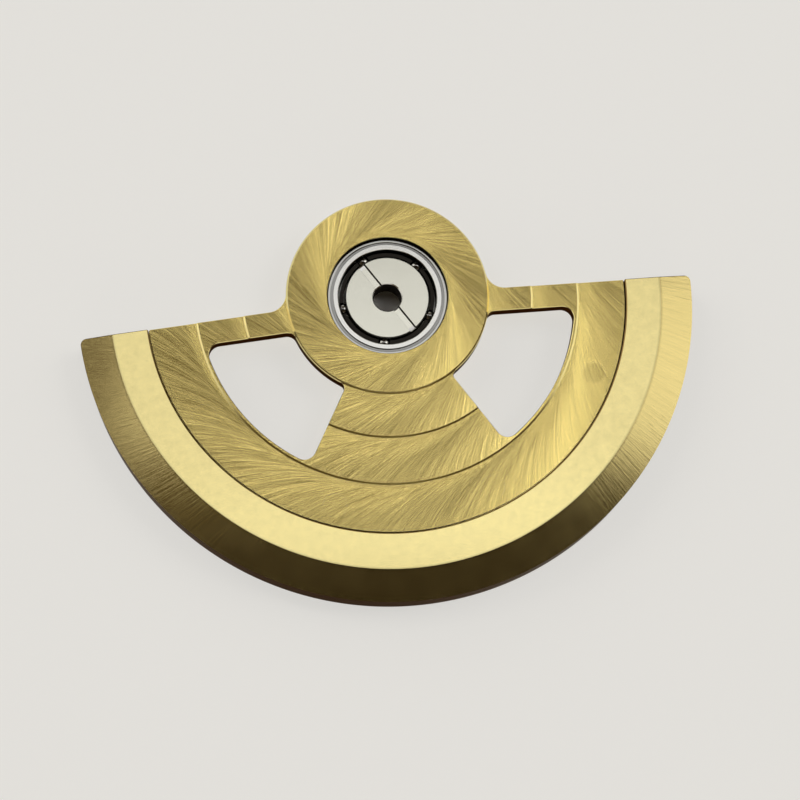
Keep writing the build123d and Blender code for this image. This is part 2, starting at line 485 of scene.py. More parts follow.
GILT_PLATE: Colour = (0.82, 0.672, 0.243)
GILT_RIM: Colour = (0.89, 0.775, 0.355)
GILT_BEVEL: Colour = (0.88, 0.73, 0.30)
GILT_HIDDEN: Colour = (0.78, 0.62, 0.24)
# Painted shade: the walls take a near-black brown and a dark edge tint, so that they read as shaded.
GILT_WALL_PAINTED_SHADE: Colour = (0.13, 0.085, 0.032)
EDGE_TINT_PAINTED_SHADE: Colour = (0.20, 0.13, 0.06)
STEEL_PALE: Colour = (0.84, 0.85, 0.76)
STEEL_BRIGHT: Colour = (0.84, 0.85, 0.83)
# Painted shade: near-black steel for the cage and the disc's walls.
STEEL_PAINTED_SHADE: Colour = (0.035, 0.032, 0.028)
# Painted shade: the balls' steel is darker, for the shade of the ball gap.
STEEL_BALL_PAINTED_SHADE: Colour = (0.36, 0.36, 0.35)


# Plane geometry


ORIGIN: Point = (0.0, 0.0)
SHARPEST_COSINE = 0.5


def polar(radius: float, angle: float) -> Point:
    """The point at a radius and an angle in degrees."""
    turn = math.radians(angle)
    return radius * math.cos(turn), radius * math.sin(turn)


def angle_of(point: Point) -> float:
    """The angle of a point around the origin, in degrees."""
    return math.degrees(math.atan2(point[1], point[0]))


def arc(centre: Point, radius: float, start: float, end: float, step: float) -> list[Point]:
    """Points along an arc, both ends included.

    Args:
        centre: The arc's centre.
        radius: Its radius.
        start: The angle it starts at, in degrees.
        end: The angle it ends at, in degrees, on either side of the start.
        step: The most degrees between two points.

    Returns:
        The points.
    """
    count = max(1, math.ceil(abs(end - start) / step))
    spokes = [polar(radius, start + (end - start) * index / count) for index in range(count + 1)]
    return [(centre[0] + x, centre[1] + y) for x, y in spokes]


def circle(centre: Point, radius: float, count: int) -> list[Point]:
    """Points evenly around a circle, the first not repeated."""
    return arc(centre, radius, 0.0, 360.0, 360.0 / count)[:-1]


def mirrored(points: Sequence[Point]) -> list[Point]:
    """Points mirrored left to right, in reverse order."""
    return [(-x, y) for x, y in reversed(points)]


def inset_directions(loop: Sequence[Point]) -> np.ndarray:
    """For each point of a closed loop, the step that moves it inwards by one unit of wall.

    Args:
        loop: The loop's points, either way round.

    Returns:
        One vector for each point.
    """
    points = np.array(loop)
    ahead = np.roll(points, -1, 0) - points
    ahead /= np.linalg.norm(ahead, axis=1, keepdims=True)
    behind = np.roll(ahead, 1, 0)
    after = np.roll(points, -1, 0)
    area = np.sum(points[:, 0] * after[:, 1] - after[:, 0] * points[:, 1])
    side = 1.0 if area > 0 else -1.0
    normals = side * np.stack([-(ahead + behind)[:, 1], (ahead + behind)[:, 0]], 1)
    normals /= np.linalg.norm(normals, axis=1, keepdims=True)
    straight = side * np.stack([-ahead[:, 1], ahead[:, 0]], 1)
    return normals / np.maximum(np.sum(normals * straight, axis=1, keepdims=True), SHARPEST_COSINE)


@dataclass(frozen=True)
class EdgeLine:
    """A straight edge in plan that runs outwards at an angle, moved sideways off the axis."""

    FILLET_STEP = 5.0

    angle: float
    offset: float = 0.0

    def rounding(self, side: float, circle_radius: float, fillet: float, outside: bool) -> list[Point]:
        """The rounded corner between this edge and a circle about the origin.

        Args:
            side: 1 where the corner lies left of the edge, -1 where it lies right.
            circle_radius: The circle's radius.
            fillet: The corner's radius.
            outside: Whether the corner lies outside the circle.

        Returns:
            Points from the edge to the circle.
        """
        sideways = self.offset + side * fillet
        distance = circle_radius + (fillet if outside else -fillet)
        reach = math.sqrt(distance**2 - sideways**2)
        out, left = Vector(polar(1.0, self.angle)), Vector(polar(1.0, self.angle + 90.0))
        centre = tuple(out * reach + left * sideways)
        start = self.angle - side * 90.0
        end = angle_of(centre) + (180.0 if outside else 0.0)
        turn = (end - start + 180.0) % 360.0 - 180.0
        return arc(centre, fillet, start, start + turn, self.FILLET_STEP)


# Meshes


def new_object(name: str, data: bpy.types.ID) -> bpy.types.Object:
    """Puts a mesh, a lamp or a camera into the scene as an object at the origin."""
    thing = bpy.data.objects.new(name, data)
    bpy.context.scene.collection.objects.link(thing)
    return thing


def face_outwards(mesh: bpy.types.Mesh) -> None:
    """Turns a closed mesh inside out if its faces point inwards."""
    mesh.calc_loop_triangles()
    places = np.zeros(len(mesh.vertices) * 3)
    mesh.vertices.foreach_get("co", places)
    corners = np.zeros(len(mesh.loop_triangles) * 3, int)
    mesh.loop_triangles.foreach_get("vertices", corners)
    triangles = places.reshape(-1, 3)[corners.reshape(-1, 3)]
    volume = np.sum(triangles[:, 0] * np.cross(triangles[:, 1], triangles[:, 2]))
    if volume < 0:
        mesh.flip_normals()


def shade(mesh: bpy.types.Mesh, sharp_angle: float) -> None:
    """Shades a mesh smoothly, apart from edges over an angle in degrees."""
    mesh.shade_smooth()
    mesh.set_sharp_from_angle(angle=math.radians(sharp_angle))


def crease_between_finishes(mesh: bpy.types.Mesh) -> None:
    """Keeps every edge between faces of two materials sharp, however little it bends."""
    finishes: dict[tuple[int, int], set[int]] = {}
    for face in mesh.polygons:
        for key in face.edge_keys:
            finishes.setdefault(key, set()).add(face.material_index)
    for edge in mesh.edges:
        if len(finishes[edge.key]) > 1:
            edge.use_edge_sharp = True


class FaceKind(Enum):
    """The kinds of face of a plate, which take different finishes."""

    TOP = 0
    EDGE = 1
    WALL = 2
    UNDERSIDE = 3


@dataclass(frozen=True)
class PlanSolid:
    """A flat piece: its outline, then its holes, and functions that give the heights of places in plan.

    A chamfer runs round every loop, apart from the last few holes, the plain ones.
    """

    TOLERANCE = 1e-7
    HOLE_SLACK = 1.001

    loops: Sequence[Sequence[Point]]
    top: Callable[[np.ndarray], np.ndarray]
    bottom: Callable[[np.ndarray], np.ndarray]
    guides: Sequence[Sequence[Point]]
    edge_chamfer: float
    plain_holes: int = 0
    thinnest: float = 0.002

    def build(self, name: str) -> bpy.types.Object:
        """Builds the piece.

        Args:
            name: The object's name.

        Returns:
            The object, with a material index for each face kind.
        """
        places, triangles = self._plan_triangles()
        edges, uses = self._edge_uses(triangles)
        border_edges = edges[uses == 1]
        on_border = np.zeros(len(places), bool)
        on_border[border_edges.ravel()] = True
        chamfer = np.where(on_border & ~self._on_plain_hole(places), self.edge_chamfer, 0.0)
        count = len(places)
        below = self.bottom(places)
        above = np.maximum(self.top(places) - chamfer, below + self.thinnest)
        upper = np.column_stack([places, above])
        lower = np.column_stack([places, np.minimum(below + chamfer, above - self.thinnest)])
        walls = [(a, a + count, b + count, b) for a, b in border_edges]
        faces = [tuple(t) for t in triangles] + [tuple(t[::-1] + count) for t in triangles] + walls
        mesh = bpy.data.meshes.new(name)
        mesh.from_pydata((np.vstack([upper, lower]) * MM).tolist(), [], faces)
        mesh.validate()
        self._sort_faces(mesh)
        shade(mesh, SHARP_ANGLE)
        return new_object(name, mesh)

    def _plan_triangles(self) -> tuple[np.ndarray, np.ndarray]:
        """The plan cut into triangles along every outline and guide.

        Returns:
            The points, and the triangles inside the plan as rows of three point numbers.
        """
        points: list[Point] = []
        lines: list[tuple[int, int]] = []
        chamfered = self.loops[:len(self.loops) - self.plain_holes]
        insets = [self.edge_chamfer] + [-self.edge_chamfer] * (len(chamfered) - 1)
        chamfers = [np.array(loop) + inset_directions(loop) * inset for loop, inset in zip(chamfered, insets)]
        for chain in [*self.loops, *chamfers, *self.guides]:
            first, size = len(points), len(chain)
            points += [tuple(point) for point in chain]
            lines += [(first + index, first + (index + 1) % size) for index in range(size)]
        flat = [Vector(point) for point in points]
        made, _, faces, *_ = delaunay_2d_cdt(flat, lines, [], 0, self.TOLERANCE)
        places = np.array([tuple(v) for v in made])
        triangles = np.array([face for face in faces if len(face) == 3])
        triangles = triangles[self._within(places[triangles].mean(1))]
        used, triangles = np.unique(triangles, return_inverse=True)
        return places[used], triangles.reshape(-1, 3)

    def _on_plain_hole(self, places: np.ndarray) -> np.ndarray:
        """Whether each point lies on a hole that has no chamfer.

        Args:
            places: The points.

        Returns:
            One truth value for each point.
        """
        found = np.zeros(len(places), bool)
        for loop in self.loops[len(self.loops) - self.plain_holes:]:
            middle = np.mean(loop, axis=0)
            reach = np.linalg.norm(np.array(loop) - middle, axis=1).max() * self.HOLE_SLACK
            found |= np.linalg.norm(places - middle, axis=1) < reach
        return found

    def _within(self, centres: np.ndarray) -> np.ndarray:
        """Whether each point lies inside the outline and outside the holes.

        Args:
            centres: The points.

        Returns:
            One truth value for each point.
        """
        inside = np.zeros(len(centres), bool)
        x, y = centres[:, 0], centres[:, 1]
        for loop in self.loops:
            points = np.array(loop)
            for (ax, ay), (bx, by) in zip(points, np.roll(points, -1, 0)):
                crosses = (ay > y) != (by > y)
                if ay != by:
                    inside ^= crosses & (x < ax + (y - ay) * (bx - ax) / (by - ay))
        return inside

    @staticmethod
    def _edge_uses(triangles: np.ndarray) -> tuple[np.ndarray, np.ndarray]:
        """Every directed edge, and how many triangles share it.

        Args:
            triangles: The triangles.

        Returns:
            The edges as rows of two point numbers, and the counts.
        """
        edges = np.vstack([triangles[:, [0, 1]], triangles[:, [1, 2]], triangles[:, [2, 0]]])
        keys = np.sort(edges, axis=1)
        _, back, counts = np.unique(keys, axis=0, return_inverse=True, return_counts=True)
        return edges, counts[back.ravel()]

    @staticmethod
    def _sort_faces(mesh: bpy.types.Mesh) -> None:
        """Gives each face the material index of its kind, by how far it leans."""
        normals = np.zeros(len(mesh.polygons) * 3)
        mesh.polygons.foreach_get("normal", normals)
        upwards = normals[2::3]
        kinds = np.full(len(upwards), FaceKind.UNDERSIDE.value)
        limits = {FaceKind.WALL: -WALL_LEAN, FaceKind.EDGE: WALL_LEAN, FaceKind.TOP: FLAT_LEAN}
        for kind, limit in limits.items():
            kinds[upwards > limit] = kind.value
        mesh.polygons.foreach_set("material_index", kinds.astype(np.int32))


class Profile:
    """A height that follows the radius in straight runs."""

    SNAP = 0.0015

    def __init__(self, points: Sequence[Point]) -> None:
        """Keeps the profile's (radius, height) points, outwards."""
        self.radii = np.array([radius for radius, _ in points])
        self.heights = np.array([height for _, height in points])

    def __call__(self, places: np.ndarray) -> np.ndarray:
        """Heights of places in plan, with radii a hair off a corner of the profile put on it."""
        radii = np.hypot(places[:, 0], places[:, 1])
        nearest = self.radii[np.abs(radii[:, None] - self.radii[None, :]).argmin(1)]
        radii = np.where(np.abs(nearest - radii) < self.SNAP, nearest, radii)
        return np.interp(radii, self.radii, self.heights)

    def rings(self, count: int) -> list[list[Point]]:
        """A circle at each inner corner of the profile."""
        return [circle(ORIGIN, radius, count) for radius in self.radii[1:-1]]


# Geometry Nodes


class GeometryTree(NodeMaker):
    """A Geometry Nodes tree with named inputs, run once to give a plain mesh."""

    def __init__(self, name: str, inputs: dict[str, str]) -> None:
        """Starts a tree.

        Args:
            name: The tree's name.
            inputs: The socket type of each named input.
        """
        tree = bpy.data.node_groups.new(name, "GeometryNodeTree")
        super().__init__(tree)
        self.keys = {}
        for label, kind in inputs.items():
            socket = tree.interface.new_socket(label, in_out="INPUT", socket_type=f"NodeSocket{kind}")
            self.keys[label] = socket.identifier
        tree.interface.new_socket("Geometry", in_out="OUTPUT", socket_type="NodeSocketGeometry")
        self.group_input = self.add("NodeGroupInput")

    def given(self, label: str) -> Wire:
        """The value of a named input."""
        return self.wire(self.group_input, label)

    def attribute(self, label: str) -> Wire:
        """A named number on each point."""
        settings = {"data_type": "FLOAT"}
        return self.result("GeometryNodeInputNamedAttribute", settings, {"Name": label}, "Attribute")

    def mesh_of(self, label: str) -> Wire:
        """The mesh of the object in a named input."""
        return self.result("GeometryNodeObjectInfo", None, {"Object": self.given(label)}, "Geometry")

    def index(self) -> Wire:
        """The number of each point."""
        return self.result("GeometryNodeInputIndex")

    def rail(self, sides: Wire | int, radius: Wire | float) -> Wire:
        """A circle of points about the axis."""
        values = {"Resolution": sides, "Radius": radius}
        return self.result("GeometryNodeCurvePrimitiveCircle", {"mode": "RADIUS"}, values)

    def joined(self, *parts: Wire) -> Wire:
        """Several geometries as one."""
        node = self.add("GeometryNodeJoinGeometry")
        for part in parts:
            self.tree.links.new(part.socket, node.inputs[0])
        return self.wire(node)

    def stored(self, geometry: Wire, label: str, value: Wire) -> Wire:
        """The geometry with a named number put on each point.

        Args:
            geometry: The geometry.
            label: The number's name.
            value: The number.

        Returns:
            The geometry.
        """
        settings = {"data_type": "FLOAT", "domain": "POINT"}
        values = {"Geometry": geometry, "Name": label, "Value": value}
        return self.result("GeometryNodeStoreNamedAttribute", settings, values)

    def moved(self, geometry: Wire, position: Wire) -> Wire:
        """The geometry with each point put at a position."""
        return self.result("GeometryNodeSetPosition", None, {"Geometry": geometry, "Position": position})

    def merged(self, geometry: Wire) -> Wire:
        """The geometry with points that lie together made one."""
        values = {"Geometry": geometry, "Distance": MERGE_DISTANCE * MM}
        return self.result("GeometryNodeMergeByDistance", None, values)

    def swept(self, section: str, rail: Wire) -> Wire:
        """A section carried along a rail. Both only give the joins: places come from the stored numbers.

        Args:
            section: The name of the input that holds the section object.
            rail: The rail curve.

        Returns:
            The mesh, with end caps.
        """
        profile = self.result("GeometryNodeMeshToCurve", None, {"Mesh": self.mesh_of(section)})
        values = {"Curve": rail, "Profile Curve": profile, "Fill Caps": True}
        return self.result("GeometryNodeCurveToMesh", None, values)

    def close(self, geometry: Wire, finishes: Sequence[tuple[str, Wire | None]]) -> None:
        """Ends the tree: instances are made real, and faces get their materials.

        Args:
            geometry: The geometry.
            finishes: Names of material inputs, each with the faces that take it, or None for all.
        """
        result = self.result("GeometryNodeRealizeInstances", None, {"Geometry": geometry})
        for label, faces in finishes:
            values = {"Geometry": result, "Material": self.given(label)}
            if faces is not None:
                values["Selection"] = faces
            result = self.result("GeometryNodeSetMaterial", None, values)
        self.add("NodeGroupOutput", None, {"Geometry": result})

    def run(self, name: str, values: dict, sharp_angle: float = 25.0) -> bpy.types.Object:
        """Evaluates the tree and keeps the result as a plain mesh.

        Args:
            name: The object's name.
            values: A value for each named input.
            sharp_angle: Edges over this many degrees stay sharp.

        Returns:
            The object, with no modifier.
        """
        holder = new_object(name + ".tree", bpy.data.meshes.new(name + ".tree"))
        modifier = holder.modifiers.new("tree", "NODES")
        modifier.node_group = self.tree
        for label, value in values.items():
            modifier[self.keys[label]] = value
        evaluated = holder.evaluated_get(bpy.context.evaluated_depsgraph_get())
        mesh = bpy.data.meshes.new_from_object(evaluated)
        bpy.data.objects.remove(holder)
        mesh.name = name
        face_outwards(mesh)
        shade(mesh, sharp_angle)
        return new_object(name, mesh)


def section_object(name: str, points: Sequence[Point], closed: bool,
                   **numbers: Sequence[float]) -> bpy.types.Object:
    """A section as a chain of points that a tree can sweep, with its radii and heights stored on it.

    Args:
        name: The object's name.
        points: (radius, height) points in millimetres.
        closed: Whether the last point joins the first.
        numbers: Further named numbers for each point.

    Returns:
        The object, hidden.
    """
    count = len(points)
    mesh = bpy.data.meshes.new(name)
    joins = [(index, (index + 1) % count) for index in range(count if closed else count - 1)]
    mesh.from_pydata([(radius * MM, height * MM, 0.0) for radius, height in points], joins, [])
    stored = {"section_radius": [radius * MM for radius, _ in points],
              "section_height": [height * MM for _, height in points]}
    for label, values in {**stored, **numbers}.items():
        mesh.attributes.new(label, "FLOAT", "POINT").data.foreach_set("value", list(values))
    section = new_object(name, mesh)
    section.hide_render = True
    return section


class TurnedPieces(GeometryTree):
    """Copies of a turned piece, spaced evenly round a circle about the axis."""

    def __init__(self) -> None:
        """Builds the tree."""
        kinds = {"Section": "Object", "Sides": "Int", "Copies": "Int", "Circle radius": "Float",
                 "First angle": "Float", "Angle step": "Float", "Finish": "Material"}
        super().__init__("turned pieces", kinds)
        self.close(self._placed(self._turned()), [("Finish", None)])

    def _turned(self) -> Wire:
        """The piece about its own axis."""
        rail = self.rail(self.given("Sides"), 1.0)
        rail = self.stored(rail, "turn", self.index() / self.given("Sides") * math.tau)
        mesh = self.swept("Section", rail)
        radius, height = self.attribute("section_radius"), self.attribute("section_height")
        place = self.around(radius, self.attribute("turn"), height)
        return self.merged(self.moved(mesh, place))

    def _placed(self, piece: Wire) -> Wire:
        """The piece's copies on their circle."""
        line = self.result("GeometryNodeMeshLine", {"mode": "OFFSET"}, {"Count": self.given("Copies")})
        angle = (self.given("First angle") + self.index() * self.given("Angle step")) * math.radians(1.0)
        points = self.moved(line, self.around(self.given("Circle radius"), angle, 0.0))
        return self.result("GeometryNodeInstanceOnPoints", None, {"Points": points, "Instance": piece})

    def turn(self, name: str, points: Sequence[Point], finish: bpy.types.Material, sides: int,
             copies: int = 1, circle_radius: float = 0.0, first_angle: float = 0.0,
             angle_step: float = 0.0, closed: bool = True, sharp_angle: float = 25.0) -> bpy.types.Object:
        """Turns a section and keeps the result as a plain mesh.

        Args:
            name: The object's name.
            points: The section's (radius, height) points.
            finish: The material.
            sides: Faces round the piece's own axis.
            copies: How many pieces.
            circle_radius: Radius of the circle that they stand on.
            first_angle: Angle of the first on it, in degrees.
            angle_step: Degrees from one to the next.
            closed: Whether the section is a loop. An open one starts and ends on the piece's axis.
            sharp_angle: Edges over this many degrees stay sharp.

        Returns:
            The object.
        """
        section = section_object(name + ".section", points, closed)
        values = {"Section": section, "Sides": sides, "Copies": copies, "Circle radius": circle_radius * MM,
                  "First angle": first_angle, "Angle step": angle_step, "Finish": finish}
        piece = self.run(name, values, sharp_angle)
        bpy.data.objects.remove(section)
        return piece


class SweptRim(GeometryTree):
    """The heavy rim: a section swept along an arc, denser towards its ends.

    The ends have rounded outer corners and a fine chamfer, and the rivet seats are cut out.
    """

    BEVEL_LEAN = 0.9

    def __init__(self) -> None:
        """Builds the tree."""
        kinds = {"Section": "Object", "Seats": "Object", "Rings": "Int", "Outer radius": "Float",
                 "Middle angle": "Float", "Half angle": "Float", "Corner radius": "Float",
                 "Bevel slope": "Float", "End chamfer": "Float", "Flat finish": "Material",
                 "Bevel finish": "Material", "Wall finish": "Material", "Foot finish": "Material"}
        super().__init__("swept rim", kinds)
        mesh = self.swept("Section", self._rail())
        mesh = self.merged(self.moved(mesh, self._place()))
        cut = self.result("GeometryNodeMeshBoolean", {"operation": "DIFFERENCE", "solver": "EXACT"},
                          {"Mesh 1": mesh, "Mesh 2": self.mesh_of("Seats")}, "Mesh")
        self.close(cut, self._finishes())

    def _rail(self) -> Wire:
        """A line of points that hold their angle, which a cubic crowds towards both ends."""
        line = self.result("GeometryNodeMeshLine", {"mode": "OFFSET"},
                           {"Count": self.given("Rings"), "Offset": (MM, 0.0, 0.0)})
        along = self.index() / (self.given("Rings") - 1.0) * 2.0 - 1.0
        eased = along * (1.5 - along * along * 0.5)
        angle = self.given("Middle angle") + eased * self.given("Half angle")
        line = self.stored(line, "turn", angle)
        return self.result("GeometryNodeMeshToCurve", None, {"Mesh": line})

    def _place(self) -> Wire:
        """Where each point of the swept section goes."""
        turn = self.attribute("turn")
        outer = self.given("Outer radius")
        corner = self.given("Corner radius")
        from_middle = (turn - self.given("Middle angle")).math("ABSOLUTE")
        to_end = (self.given("Half angle") - from_middle) * outer
        short = (corner - to_end).math("MAXIMUM", 0.0).math("MINIMUM", corner)
        limit = outer - corner + (corner * corner - short * short).math("MAXIMUM", 0.0).math("SQRT")
        on_wall = self.attribute("on_wall")
        radius = self.attribute("section_radius")
        beyond = (radius - limit).math("MAXIMUM", 0.0) * (1.0 - on_wall)
        radius = radius - beyond - on_wall * (outer - limit)
        height = self.attribute("section_height") + beyond * self.given("Bevel slope")
        chamfer = (self.given("End chamfer") - to_end).math("MAXIMUM", 0.0)
        radius = radius + self.attribute("inset_radius") * chamfer
        height = height + self.attribute("inset_height") * chamfer
        return self.around(radius, turn, height)

    def _finishes(self) -> list[tuple[str, Wire | None]]:
        """The finishes: walls first, then the foot, the bevel and the flat by how far the faces lean."""
        normal = self.result("GeometryNodeInputNormal")
        upwards = self.result("ShaderNodeSeparateXYZ", None, {0: normal}, "Z")
        return [("Wall finish", None), ("Foot finish", upwards < -self.BEVEL_LEAN),
                ("Bevel finish", upwards > self.BEVEL_LEAN), ("Flat finish", upwards > FLAT_LEAN)]


class ToothedRing(GeometryTree):
    """A flat ring with straight-flanked teeth round its outside."""

    POINTS_ROUND_TOOTH = 12
    BORE_SIDES = 180

    def __init__(self) -> None:
        """Builds the tree."""
        kinds = {"Teeth": "Int", "Root radius": "Float", "Tip radius": "Float", "Bore radius": "Float",
                 "Root share": "Float", "Tip share": "Float", "Bottom": "Float", "Thickness": "Float",
                 "Finish": "Material"}
        super().__init__("toothed ring", kinds)
        outline = self.joined(self._teeth(), self.rail(self.BORE_SIDES, self.given("Bore radius")))
        face = self.result("GeometryNodeFillCurve", {"mode": "NGONS"}, {"Curve": outline})
        lift = self.vector(0.0, 0.0, self.given("Bottom"))
        face = self.result("GeometryNodeSetPosition", None, {"Geometry": face, "Offset": lift})
        raised = self.result("GeometryNodeExtrudeMesh", {"mode": "FACES"},
                             {"Mesh": face, "Offset": (0.0, 0.0, 1.0),
                              "Offset Scale": self.given("Thickness"), "Individual": False})
        under = self.result("GeometryNodeFlipFaces", None, {"Mesh": face})
        self.close(self.merged(self.joined(raised, under)), [("Finish", None)])

    def _teeth(self) -> Wire:
        """The toothed outline: a circle whose radius follows the place within each tooth's pitch."""
        count = self.given("Teeth") * float(self.POINTS_ROUND_TOOTH)
        curve, index = self.rail(count, 1.0), self.index()
        turn = index / count * math.tau
        phase = (index / float(self.POINTS_ROUND_TOOTH)).math("FRACT")
        from_middle = (phase - 0.5).math("ABSOLUTE") * 2.0
        tip, root = self.given("Tip share"), self.given("Root share")
        fall = ((from_middle - tip) / (root - tip)).clamped()
        radius = self.given("Tip radius") - fall * (self.given("Tip radius") - self.given("Root radius"))
        return self.moved(curve, self.around(radius, turn, 0.0))


# The rotor


@dataclass(frozen=True)
class WeightPlan:
    """Sizes in plan that the plate and the rim share, in millimetres and degrees."""

    rotor_radius: float = 13.0
    half_angle: float = 87.9
    middle_angle: float = -90.0
    plate_radius: float = 10.15
    hub_radius: float = 4.30
    hub_bore_radius: float = 2.55
    inner_step_radius: float = 6.12
    outer_step_radius: float = 8.10
    rivet_circle_radius: float = 9.275
    rivet_spread: float = 62.3
    rivet_count: int = 4
    rivet_shank_radius: float = 0.50

    @property
    def right_end(self) -> float:
        """The angle of the right-hand end."""
        return self.middle_angle + self.half_angle

    @property
    def rivet_step(self) -> float:
        """Degrees from one rivet to the next."""
        return 2 * self.rivet_spread / (self.rivet_count - 1)

    @property
    def first_rivet_angle(self) -> float:
        """The angle of the first rivet."""
        return self.middle_angle - self.rivet_spread

    def rivet_places(self) -> list[Point]:
        """The rivets' places in plan."""
        angles = [self.first_rivet_angle + index * self.rivet_step for index in range(self.rivet_count)]
        return [polar(self.rivet_circle_radius, angle) for angle in angles]


@dataclass
class CarrierPlate:
    """The plate with the hub ring, two arms, the spoke and the crescent, in bands that step down outwards."""

    plan: WeightPlan
    arm_width: float = 1.00
    arm_root_radius: float = 0.80
    spoke_half_angle: float = 31.0
    window_outer_radius: float = 7.96
    window_arm_radius: float = 0.42
    window_rim_radius: float = 0.50
    window_spoke_radius: float = 0.25
    hub_bevel_width: float = 0.08
    hub_rise: float = 0.10
    bore_chamfer: float = 0.04
    step_drop: float = 0.05
    step_run: float = 0.08
    seam_width: float = 0.05
    seam_depth: float = 0.14
    thickness: float = 0.55
    boss_radius: float = 2.90
    edge_chamfer: float = 0.025
    wall_run: float = 0.004
    rivet_gap: float = 0.002
    bore_shadow: float = 0.65
    rim_shadow: float = 0.75
    top_sides: int = 360
    bottom_sides: int = 240
    bore_sides: int = 240
    hole_sides: int = 64
    rim_step: float = 0.5
    arc_step: float = 1.0

    def build(self) -> bpy.types.Object:
        """The plate, riding on the weight."""
        solid = PlanSolid(self._loops(), self._top(), self._bottom(), self._guides(), self.edge_chamfer,
                          self.plan.rivet_count)
        plate = solid.build("striped_plate")
        edges = (self.plan.hub_bore_radius + self.bore_chamfer, self.plan.hub_radius - self.hub_bevel_width,
                 self.plan.inner_step_radius, self.plan.outer_step_radius, self.plan.plate_radius)
        mark = self.plan.rivet_places()[-1]
        shadows = self._shadows()
        for finish in (
            BandBrushing("plate stripes", GILT_PLATE, band_edges=edges, mark_place=mark),
            FineGrain("plate edges", GILT_RIM, painted_light_shade_rings=shadows),
            # Painted shade: the plate walls are near-black brown with a dark edge tint.
            TurnedMetal("plate walls", GILT_WALL_PAINTED_SHADE, roughness=0.32, edge_tint=EDGE_TINT_PAINTED_SHADE, painted_light_shade_rings=shadows),
            TurnedMetal("plate underside", GILT_HIDDEN, roughness=0.28),
        ):
            plate.data.materials.append(finish.make())
        return settled(plate, Body.WEIGHT, ["carrier_plate"])

    def _shadows(self) -> tuple[DarkRing, ...]:
        """Dark rings in the tight corners round the bearing and along the rim."""
        bore, outer = self.plan.hub_bore_radius, self.plan.plate_radius
        return (DarkRing(bore - self.bore_chamfer, bore + self.bore_chamfer, self.bore_shadow),
                DarkRing(outer - self.seam_width, outer + self.seam_width, self.rim_shadow))

    def _top(self) -> Profile:
        """Heights of the upper side, from the bore to the rim."""
        hub_top = level("carrier_plate", 1)
        inner_top = hub_top - self.hub_rise
        middle_top = inner_top - self.step_drop
        crescent_top = middle_top - self.step_drop
        half_run = self.step_run / 2
        seam = self.plan.plate_radius - self.seam_width
        return Profile([
            (self.plan.hub_bore_radius, hub_top),
            (self.plan.hub_radius - self.hub_bevel_width, hub_top),
            (self.plan.hub_radius, inner_top),
            (self.plan.inner_step_radius - half_run, inner_top),
            (self.plan.inner_step_radius + half_run, middle_top),
            (self.plan.outer_step_radius - half_run, middle_top),
            (self.plan.outer_step_radius + half_run, crescent_top),
            (seam - self.wall_run, crescent_top),
            (seam, crescent_top - self.seam_depth),
            (self.plan.plate_radius, crescent_top - self.seam_depth),
        ])

    def _bottom(self) -> Profile:
        """Heights of the underside: the boss and the flat plate."""
        boss_bottom = level("carrier_plate", 0)
        plate_bottom = level("carrier_plate", 1) - self.hub_rise - 2 * self.step_drop - self.thickness
        return Profile([
            (self.plan.hub_bore_radius, boss_bottom),
            (self.boss_radius, boss_bottom),
            (self.boss_radius + self.wall_run, plate_bottom),
            (self.plan.plate_radius, plate_bottom),
        ])

    def _guides(self) -> list[list[Point]]:
        """Circles along every fold of both sides."""
        return self._top().rings(self.top_sides) + self._bottom().rings(self.bottom_sides)

    def _loops(self) -> list[list[Point]]:
        """The outline, then the windows, the bore and the rivet holes."""
        window = self._window()
        hole_radius = self.plan.rivet_shank_radius + self.rivet_gap
        holes = [circle(place, hole_radius, self.hole_sides) for place in self.plan.rivet_places()]
        bore = circle(ORIGIN, self.plan.hub_bore_radius, self.bore_sides)
        return [self._outline(), window, mirrored(window), bore, *holes]

    def _outline(self) -> list[Point]:
        """The hub with the half disc below it, rounded where they meet."""
        right = self.plan.right_end
        root = EdgeLine(right).rounding(1.0, self.plan.hub_radius, self.arm_root_radius, True)
        hub_start = angle_of(root[-1])
        hub = arc(ORIGIN, self.plan.hub_radius, hub_start, 180.0 - hub_start, self.arc_step)
        rim = arc(ORIGIN, self.plan.plate_radius, right - 2 * self.plan.half_angle, right, self.rim_step)
        return [*rim, *root, *hub[1:-1], *mirrored(root)]

    def _window(self) -> list[Point]:
        """The right-hand window, between the arm, the spoke, the hub and the crescent."""
        arm = EdgeLine(self.plan.right_end, -self.arm_width)
        spoke = EdgeLine(self.plan.middle_angle + self.spoke_half_angle)
        hub, outer = self.plan.hub_radius, self.window_outer_radius
        by_hub = arm.rounding(-1.0, hub, self.window_arm_radius, True)[::-1]
        by_rim = arm.rounding(-1.0, outer, self.window_rim_radius, False)
        low_rim = spoke.rounding(1.0, outer, self.window_rim_radius, False)[::-1]
        low_hub = spoke.rounding(1.0, hub, self.window_spoke_radius, True)
        rim = arc(ORIGIN, outer, angle_of(by_rim[-1]), angle_of(low_rim[0]), self.arc_step)
        back = arc(ORIGIN, hub, angle_of(low_hub[-1]), angle_of(by_hub[0]), self.arc_step)
        return [*by_hub, *by_rim, *rim[1:-1], *low_rim, *low_hub, *back[1:-1]]


